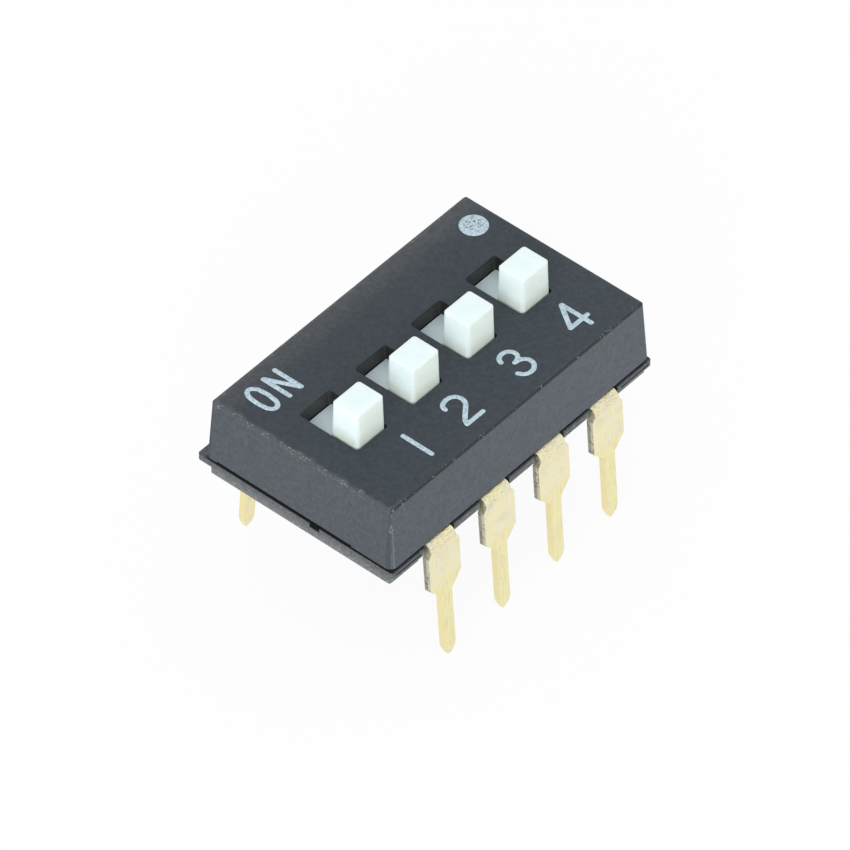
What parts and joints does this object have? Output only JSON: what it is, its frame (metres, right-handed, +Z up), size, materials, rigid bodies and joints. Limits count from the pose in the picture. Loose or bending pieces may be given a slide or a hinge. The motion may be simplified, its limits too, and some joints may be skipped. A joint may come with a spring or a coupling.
{
  "type": "dip switch",
  "caption": "Raised-actuator slide DIP switch: dark two-part housing, white sliding knobs in slots, and two rows of bent through-hole pins.",
  "frame": {"origin": "centre of the footprint, at the height of the pin tips", "axes": "+X along the row of switches from 1 to 4, +Y towards ON, +Z up out of the circuit board"},
  "size_m": [0.0121, 0.0084, 0.0086],
  "materials": {
    "cover": "fine matte",
    "base": "matte",
    "slider": "satin",
    "wiper": "bright",
    "terminal": "pale gold plate",
    "print": "thin pale ink film on the cover"
  },
  "bodies": {
    "housing": {"cover": "cover", "base": "base", "terminal_front_1": "terminal", "terminal_front_2": "terminal", "terminal_front_3": "terminal", "terminal_front_4": "terminal", "terminal_back_1": "terminal", "terminal_back_2": "terminal", "terminal_back_3": "terminal", "terminal_back_4": "terminal"},
    "switch_1": {"slider_1": "slider", "wiper_1": "wiper"},
    "switch_2": {"slider_2": "slider", "wiper_2": "wiper"},
    "switch_3": {"slider_3": "slider", "wiper_3": "wiper"},
    "switch_4": {"slider_4": "slider", "wiper_4": "wiper"}
  },
  "joints": [
    {"name": "slide_1", "type": "slide", "parent": "housing", "child": "switch_1", "axis": [0, 1, 0], "range_m": [0, 0.00116]},
    {"name": "slide_2", "type": "slide", "parent": "housing", "child": "switch_2", "axis": [0, 1, 0], "range_m": [0, 0.00116]},
    {"name": "slide_3", "type": "slide", "parent": "housing", "child": "switch_3", "axis": [0, 1, 0], "range_m": [0, 0.00116]},
    {"name": "slide_4", "type": "slide", "parent": "housing", "child": "switch_4", "axis": [0, 1, 0], "range_m": [0, 0.00116]}
  ]
}
